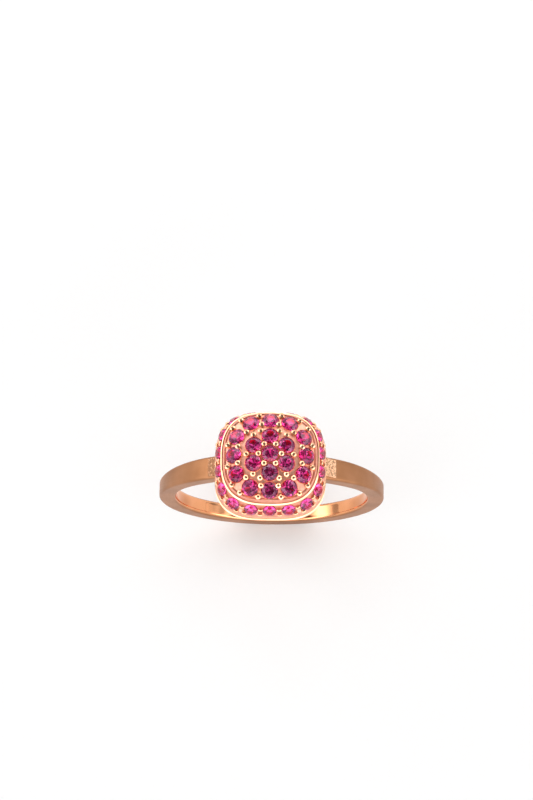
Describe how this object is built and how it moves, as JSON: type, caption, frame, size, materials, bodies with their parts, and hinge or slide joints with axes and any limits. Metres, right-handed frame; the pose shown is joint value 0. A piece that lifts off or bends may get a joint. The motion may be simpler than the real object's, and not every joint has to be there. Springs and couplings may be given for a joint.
{
  "type": "cocktail ring",
  "caption": "Slim rose-gold finger ring with a domed cushion-shaped head, pave set with round red stones on top and round its side.",
  "frame": {"origin": "centre of the finger bore", "axes": "+Z from the bore up to the middle of the head, +Y along the finger, +X to the right as the front is seen"},
  "size_m": [0.0204, 0.0094, 0.0242],
  "materials": {
    "satin_rose_gold": "satin rose gold",
    "rose_gold": "polished rose gold",
    "solder_rose_gold": "rough, as left by the solder",
    "ruby": "faceted, polished"
  },
  "bodies": {
    "root": {"shank": "satin_rose_gold", "solder_left": "solder_rose_gold", "solder_right": "solder_rose_gold", "base_rail": "rose_gold", "side_wall": "rose_gold", "pave_plate": "rose_gold", "rim_wire": "rose_gold", "top_stone_01": "ruby", "top_stone_02": "ruby", "top_stone_03": "ruby", "top_stone_04": "ruby", "top_stone_05": "ruby", "top_stone_06": "ruby", "top_stone_07": "ruby", "top_stone_08": "ruby", "top_stone_09": "ruby", "top_stone_10": "ruby", "top_stone_11": "ruby", "top_stone_12": "ruby", "top_stone_13": "ruby", "top_stone_14": "ruby", "top_stone_15": "ruby", "top_stone_16": "ruby", "top_stone_17": "ruby", "top_stone_18": "ruby", "top_stone_19": "ruby", "side_stone_01": "ruby", "side_stone_02": "ruby", "side_stone_03": "ruby", "side_stone_04": "ruby", "side_stone_05": "ruby", "side_stone_06": "ruby", "side_stone_07": "ruby", "side_stone_08": "ruby", "side_stone_09": "ruby", "side_stone_10": "ruby", "side_stone_11": "ruby", "side_stone_12": "ruby", "side_stone_13": "ruby", "side_stone_14": "ruby", "side_stone_15": "ruby", "side_stone_16": "ruby", "side_stone_17": "ruby", "side_stone_18": "ruby"}
  },
  "joints": []
}
